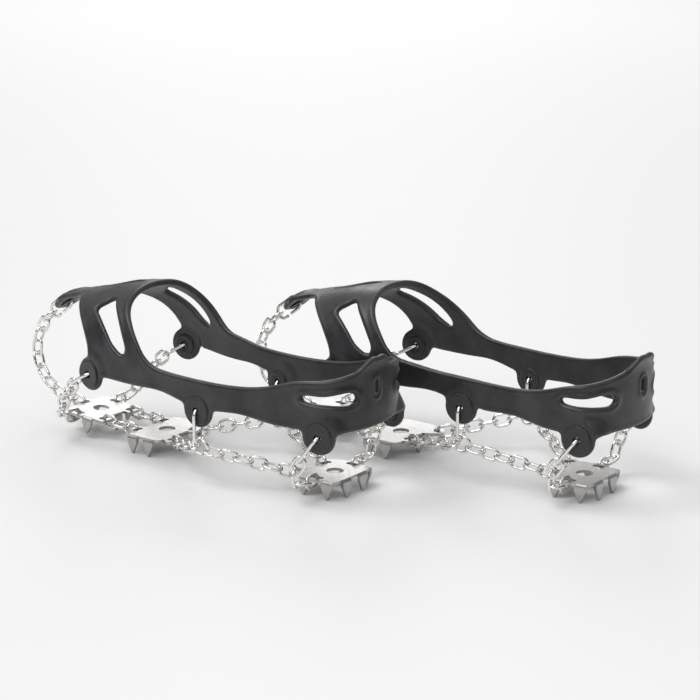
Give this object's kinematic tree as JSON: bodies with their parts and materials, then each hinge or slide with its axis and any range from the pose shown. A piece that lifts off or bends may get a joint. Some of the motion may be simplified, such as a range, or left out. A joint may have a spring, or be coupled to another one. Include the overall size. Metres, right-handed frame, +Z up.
{
  "type": "microspikes",
  "caption": "Microspikes for a left and a right boot in worn shape: stretched rubber harnesses with hooks, steel chains, arch rings and toothed plates under the sole.",
  "frame": {"origin": "on the sole line of the left boot, midway along its length, where the boot's sole meets the tops of the spike plates", "axes": "+Y to the toes, +X to the wearer's right, +Z up"},
  "size_m": [0.2142, 0.4661, 0.1222],
  "materials": {
    "elastomer": "satin moulded elastomer",
    "eyelet_plastic": "moulded nylon",
    "wire_steel": "bright plated wire",
    "plate_steel": "stamped stainless steel"
  },
  "bodies": {
    "left_harness_body": {"left_harness": "elastomer", "left_eyelet_grommets": "eyelet_plastic", "left_eyelet_washers": "eyelet_plastic"},
    "right_harness_body": {"right_harness": "elastomer", "right_eyelet_grommets": "eyelet_plastic", "right_eyelet_washers": "eyelet_plastic"},
    "left_arch_lateral_front_chain_body": {"left_arch_lateral_front_chain": "wire_steel"},
    "left_arch_lateral_hook_body": {"left_arch_lateral_hook": "wire_steel"},
    "left_arch_lateral_rear_chain_body": {"left_arch_lateral_rear_chain": "wire_steel"},
    "left_arch_lateral_ring_body": {"left_arch_lateral_ring": "wire_steel"},
    "left_arch_medial_front_chain_body": {"left_arch_medial_front_chain": "wire_steel"},
    "left_arch_medial_hook_body": {"left_arch_medial_hook": "wire_steel"},
    "left_arch_medial_rear_chain_body": {"left_arch_medial_rear_chain": "wire_steel"},
    "left_arch_medial_ring_body": {"left_arch_medial_ring": "wire_steel"},
    "left_ball_lateral_chain_body": {"left_ball_lateral_chain": "wire_steel"},
    "left_ball_medial_chain_body": {"left_ball_medial_chain": "wire_steel"},
    "left_ball_spike_plate_body": {"left_ball_spike_plate": "plate_steel"},
    "left_front_lateral_chain_body": {"left_front_lateral_chain": "wire_steel"},
    "left_front_lateral_hook_body": {"left_front_lateral_hook": "wire_steel"},
    "left_front_medial_chain_body": {"left_front_medial_chain": "wire_steel"},
    "left_front_medial_hook_body": {"left_front_medial_hook": "wire_steel"},
    "left_heel_lateral_chain_body": {"left_heel_lateral_chain": "wire_steel"},
    "left_heel_lateral_hook_body": {"left_heel_lateral_hook": "wire_steel"},
    "left_heel_medial_chain_body": {"left_heel_medial_chain": "wire_steel"},
    "left_heel_medial_hook_body": {"left_heel_medial_hook": "wire_steel"},
    "left_heel_spike_plate_body": {"left_heel_spike_plate": "plate_steel"},
    "left_toe_chain_body": {"left_toe_chain": "wire_steel"},
    "left_toe_hook_body": {"left_toe_hook": "wire_steel"},
    "left_toe_spike_plate_body": {"left_toe_spike_plate": "plate_steel"},
    "right_arch_lateral_front_chain_body": {"right_arch_lateral_front_chain": "wire_steel"},
    "right_arch_lateral_hook_body": {"right_arch_lateral_hook": "wire_steel"},
    "right_arch_lateral_rear_chain_body": {"right_arch_lateral_rear_chain": "wire_steel"},
    "right_arch_lateral_ring_body": {"right_arch_lateral_ring": "wire_steel"},
    "right_arch_medial_front_chain_body": {"right_arch_medial_front_chain": "wire_steel"},
    "right_arch_medial_hook_body": {"right_arch_medial_hook": "wire_steel"},
    "right_arch_medial_rear_chain_body": {"right_arch_medial_rear_chain": "wire_steel"},
    "right_arch_medial_ring_body": {"right_arch_medial_ring": "wire_steel"},
    "right_ball_lateral_chain_body": {"right_ball_lateral_chain": "wire_steel"},
    "right_ball_medial_chain_body": {"right_ball_medial_chain": "wire_steel"},
    "right_ball_spike_plate_body": {"right_ball_spike_plate": "plate_steel"},
    "right_front_lateral_chain_body": {"right_front_lateral_chain": "wire_steel"},
    "right_front_lateral_hook_body": {"right_front_lateral_hook": "wire_steel"},
    "right_front_medial_chain_body": {"right_front_medial_chain": "wire_steel"},
    "right_front_medial_hook_body": {"right_front_medial_hook": "wire_steel"},
    "right_heel_lateral_chain_body": {"right_heel_lateral_chain": "wire_steel"},
    "right_heel_lateral_hook_body": {"right_heel_lateral_hook": "wire_steel"},
    "right_heel_medial_chain_body": {"right_heel_medial_chain": "wire_steel"},
    "right_heel_medial_hook_body": {"right_heel_medial_hook": "wire_steel"},
    "right_heel_spike_plate_body": {"right_heel_spike_plate": "plate_steel"},
    "right_toe_chain_body": {"right_toe_chain": "wire_steel"},
    "right_toe_hook_body": {"right_toe_hook": "wire_steel"},
    "right_toe_spike_plate_body": {"right_toe_spike_plate": "plate_steel"}
  },
  "joints": [
    {"name": "left_arch_lateral_front_chain_roll", "type": "hinge", "parent": "left_harness_body", "child": "left_arch_lateral_front_chain_body", "pos_m": [-0.03374, -0.00412, 0.0056], "axis": [0.5401, 0.8106, -0.2266], "range_deg": [-6, 6]},
    {"name": "left_arch_lateral_hook_twist", "type": "hinge", "parent": "left_harness_body", "child": "left_arch_lateral_hook_body", "pos_m": [-0.0514, -0.03394, 0.041], "axis": [0, 0, -1], "range_deg": [-8, 8]},
    {"name": "left_arch_lateral_rear_chain_roll", "type": "hinge", "parent": "left_harness_body", "child": "left_arch_lateral_rear_chain_body", "pos_m": [-0.03306, -0.06342, 0.0056], "axis": [0.551, -0.8031, -0.2266], "range_deg": [-6, 6]},
    {"name": "left_arch_lateral_ring_tilt", "type": "hinge", "parent": "left_harness_body", "child": "left_arch_lateral_ring_body", "pos_m": [-0.04931, -0.03388, 0.01221], "axis": [0.0294, -0.9996, 0], "range_deg": [-6, 2]},
    {"name": "left_arch_medial_front_chain_roll", "type": "hinge", "parent": "left_harness_body", "child": "left_arch_medial_front_chain_body", "pos_m": [0.02322, -0.00139, 0.0056], "axis": [-0.3851, 0.8946, -0.2266], "range_deg": [-6, 6]},
    {"name": "left_arch_medial_hook_twist", "type": "hinge", "parent": "left_harness_body", "child": "left_arch_medial_hook_body", "pos_m": [0.03591, -0.03379, 0.041], "axis": [0, 0, -1], "range_deg": [-8, 8]},
    {"name": "left_arch_medial_rear_chain_roll", "type": "hinge", "parent": "left_harness_body", "child": "left_arch_medial_rear_chain_body", "pos_m": [0.0221, -0.06581, 0.0056], "axis": [-0.3808, -0.8965, -0.2266], "range_deg": [-6, 6]},
    {"name": "left_arch_medial_ring_tilt", "type": "hinge", "parent": "left_harness_body", "child": "left_arch_medial_ring_body", "pos_m": [0.03383, -0.03357, 0.01221], "axis": [-0.1017, -0.9948, 0], "range_deg": [-2, 6]},
    {"name": "left_ball_lateral_chain_roll", "type": "hinge", "parent": "left_harness_body", "child": "left_ball_lateral_chain_body", "pos_m": [-0.014, 0.0758, -0.00012], "axis": [0, 0.9978, 0.066], "range_deg": [-6, 6]},
    {"name": "left_ball_medial_chain_roll", "type": "hinge", "parent": "left_harness_body", "child": "left_ball_medial_chain_body", "pos_m": [0.014, 0.0758, -0.00012], "axis": [0, 0.9978, 0.066], "range_deg": [-6, 6]},
    {"name": "left_ball_spike_plate_rock", "type": "hinge", "parent": "left_harness_body", "child": "left_ball_spike_plate_body", "pos_m": [0, 0.043, -0.001], "axis": [1, 0, 0], "range_deg": [-2, 2]},
    {"name": "left_front_lateral_chain_roll", "type": "hinge", "parent": "left_harness_body", "child": "left_front_lateral_chain_body", "pos_m": [-0.03529, 0.0992, 0.02059], "axis": [0.5091, 0.528, -0.6797], "range_deg": [-6, 6]},
    {"name": "left_front_lateral_hook_twist", "type": "hinge", "parent": "left_harness_body", "child": "left_front_lateral_hook_body", "pos_m": [-0.05142, 0.06668, 0.049], "axis": [0.1311, 0.8615, -0.4906], "range_deg": [-8, 8]},
    {"name": "left_front_medial_chain_roll", "type": "hinge", "parent": "left_harness_body", "child": "left_front_medial_chain_body", "pos_m": [0.03443, 0.09929, 0.02057], "axis": [-0.4853, 0.5346, -0.6918], "range_deg": [-6, 6]},
    {"name": "left_front_medial_hook_twist", "type": "hinge", "parent": "left_harness_body", "child": "left_front_medial_hook_body", "pos_m": [0.04891, 0.06677, 0.049], "axis": [-0.0941, 0.8654, -0.4922], "range_deg": [-8, 8]},
    {"name": "left_heel_lateral_chain_roll", "type": "hinge", "parent": "left_harness_body", "child": "left_heel_lateral_chain_body", "pos_m": [-0.03202, -0.11344, 0.00927], "axis": [0.6884, 0.1674, -0.7057], "range_deg": [-6, 6]},
    {"name": "left_heel_lateral_hook_twist", "type": "hinge", "parent": "left_harness_body", "child": "left_heel_lateral_hook_body", "pos_m": [-0.03937, -0.12857, 0.037], "axis": [-0.1229, 0.5837, -0.8026], "range_deg": [-8, 8]},
    {"name": "left_heel_medial_chain_roll", "type": "hinge", "parent": "left_harness_body", "child": "left_heel_medial_chain_body", "pos_m": [0.03144, -0.11338, 0.00931], "axis": [-0.6658, 0.1676, -0.7271], "range_deg": [-6, 6]},
    {"name": "left_heel_medial_hook_twist", "type": "hinge", "parent": "left_harness_body", "child": "left_heel_medial_hook_body", "pos_m": [0.03918, -0.12873, 0.037], "axis": [0.0785, 0.5964, -0.7989], "range_deg": [-8, 8]},
    {"name": "left_heel_spike_plate_rock", "type": "hinge", "parent": "left_harness_body", "child": "left_heel_spike_plate_body", "pos_m": [0, -0.111, -0.001], "axis": [1, 0, 0], "range_deg": [-2, 2]},
    {"name": "left_toe_chain_roll", "type": "hinge", "parent": "left_harness_body", "child": "left_toe_chain_body", "pos_m": [0, 0.14203, 0.03676], "axis": [0, -0.3739, -0.9275], "range_deg": [-6, 6]},
    {"name": "left_toe_hook_twist", "type": "hinge", "parent": "left_harness_body", "child": "left_toe_hook_body", "pos_m": [0, 0.13774, 0.08232], "axis": [0, 0.8, -0.6], "range_deg": [-8, 8]},
    {"name": "left_toe_spike_plate_rock", "type": "hinge", "parent": "left_harness_body", "child": "left_toe_spike_plate_body", "pos_m": [0, 0.109, 0.0025], "axis": [1, 0, 0], "range_deg": [-2, 2]},
    {"name": "right_arch_lateral_front_chain_roll", "type": "hinge", "parent": "right_harness_body", "child": "right_arch_lateral_front_chain_body", "pos_m": [0.13274, -0.14112, 0.0056], "axis": [-0.5401, 0.8106, -0.2266], "range_deg": [-6, 6]},
    {"name": "right_arch_lateral_hook_twist", "type": "hinge", "parent": "right_harness_body", "child": "right_arch_lateral_hook_body", "pos_m": [0.1504, -0.17094, 0.041], "axis": [0, 0, -1], "range_deg": [-8, 8]},
    {"name": "right_arch_lateral_rear_chain_roll", "type": "hinge", "parent": "right_harness_body", "child": "right_arch_lateral_rear_chain_body", "pos_m": [0.13206, -0.20042, 0.0056], "axis": [-0.551, -0.8031, -0.2266], "range_deg": [-6, 6]},
    {"name": "right_arch_lateral_ring_tilt", "type": "hinge", "parent": "right_harness_body", "child": "right_arch_lateral_ring_body", "pos_m": [0.1483, -0.17088, 0.01221], "axis": [-0.0294, -0.9996, 0], "range_deg": [-2, 6]},
    {"name": "right_arch_medial_front_chain_roll", "type": "hinge", "parent": "right_harness_body", "child": "right_arch_medial_front_chain_body", "pos_m": [0.07578, -0.13839, 0.0056], "axis": [0.3851, 0.8946, -0.2266], "range_deg": [-6, 6]},
    {"name": "right_arch_medial_hook_twist", "type": "hinge", "parent": "right_harness_body", "child": "right_arch_medial_hook_body", "pos_m": [0.06309, -0.17079, 0.041], "axis": [0, 0, -1], "range_deg": [-8, 8]},
    {"name": "right_arch_medial_rear_chain_roll", "type": "hinge", "parent": "right_harness_body", "child": "right_arch_medial_rear_chain_body", "pos_m": [0.0769, -0.20281, 0.0056], "axis": [0.3808, -0.8965, -0.2266], "range_deg": [-6, 6]},
    {"name": "right_arch_medial_ring_tilt", "type": "hinge", "parent": "right_harness_body", "child": "right_arch_medial_ring_body", "pos_m": [0.06517, -0.17057, 0.01221], "axis": [0.1017, -0.9948, 0], "range_deg": [-6, 2]},
    {"name": "right_ball_lateral_chain_roll", "type": "hinge", "parent": "right_harness_body", "child": "right_ball_lateral_chain_body", "pos_m": [0.113, -0.06119, -0.00012], "axis": [0, 0.9978, 0.066], "range_deg": [-6, 6]},
    {"name": "right_ball_medial_chain_roll", "type": "hinge", "parent": "right_harness_body", "child": "right_ball_medial_chain_body", "pos_m": [0.085, -0.06119, -0.00012], "axis": [0, 0.9978, 0.066], "range_deg": [-6, 6]},
    {"name": "right_ball_spike_plate_rock", "type": "hinge", "parent": "right_harness_body", "child": "right_ball_spike_plate_body", "pos_m": [0.099, -0.094, -0.001], "axis": [-1, 0, 0], "range_deg": [-2, 2]},
    {"name": "right_front_lateral_chain_roll", "type": "hinge", "parent": "right_harness_body", "child": "right_front_lateral_chain_body", "pos_m": [0.13429, -0.0378, 0.02059], "axis": [-0.5091, 0.528, -0.6797], "range_deg": [-6, 6]},
    {"name": "right_front_lateral_hook_twist", "type": "hinge", "parent": "right_harness_body", "child": "right_front_lateral_hook_body", "pos_m": [0.15042, -0.07032, 0.049], "axis": [-0.1311, 0.8615, -0.4906], "range_deg": [-8, 8]},
    {"name": "right_front_medial_chain_roll", "type": "hinge", "parent": "right_harness_body", "child": "right_front_medial_chain_body", "pos_m": [0.06457, -0.03771, 0.02057], "axis": [0.4853, 0.5346, -0.6918], "range_deg": [-6, 6]},
    {"name": "right_front_medial_hook_twist", "type": "hinge", "parent": "right_harness_body", "child": "right_front_medial_hook_body", "pos_m": [0.05009, -0.07023, 0.049], "axis": [0.0941, 0.8654, -0.4922], "range_deg": [-8, 8]},
    {"name": "right_heel_lateral_chain_roll", "type": "hinge", "parent": "right_harness_body", "child": "right_heel_lateral_chain_body", "pos_m": [0.13102, -0.25044, 0.00927], "axis": [-0.6884, 0.1674, -0.7057], "range_deg": [-6, 6]},
    {"name": "right_heel_lateral_hook_twist", "type": "hinge", "parent": "right_harness_body", "child": "right_heel_lateral_hook_body", "pos_m": [0.13837, -0.26557, 0.037], "axis": [0.1229, 0.5837, -0.8026], "range_deg": [-8, 8]},
    {"name": "right_heel_medial_chain_roll", "type": "hinge", "parent": "right_harness_body", "child": "right_heel_medial_chain_body", "pos_m": [0.06756, -0.25038, 0.00931], "axis": [0.6658, 0.1676, -0.7271], "range_deg": [-6, 6]},
    {"name": "right_heel_medial_hook_twist", "type": "hinge", "parent": "right_harness_body", "child": "right_heel_medial_hook_body", "pos_m": [0.05982, -0.26573, 0.037], "axis": [-0.0785, 0.5964, -0.7989], "range_deg": [-8, 8]},
    {"name": "right_heel_spike_plate_rock", "type": "hinge", "parent": "right_harness_body", "child": "right_heel_spike_plate_body", "pos_m": [0.099, -0.248, -0.001], "axis": [-1, 0, 0], "range_deg": [-2, 2]},
    {"name": "right_toe_chain_roll", "type": "hinge", "parent": "right_harness_body", "child": "right_toe_chain_body", "pos_m": [0.099, 0.00503, 0.03676], "axis": [0, -0.3739, -0.9275], "range_deg": [-6, 6]},
    {"name": "right_toe_hook_twist", "type": "hinge", "parent": "right_harness_body", "child": "right_toe_hook_body", "pos_m": [0.099, 0.00074, 0.08232], "axis": [0, 0.8, -0.6], "range_deg": [-8, 8]},
    {"name": "right_toe_spike_plate_rock", "type": "hinge", "parent": "right_harness_body", "child": "right_toe_spike_plate_body", "pos_m": [0.099, -0.028, 0.0025], "axis": [-1, 0, 0], "range_deg": [-2, 2]},
    {"name": "right_foot_spacing", "type": "slide", "parent": "left_harness_body", "child": "right_harness_body", "axis": [1, 0, 0], "range_m": [0, 0.15]}
  ]
}
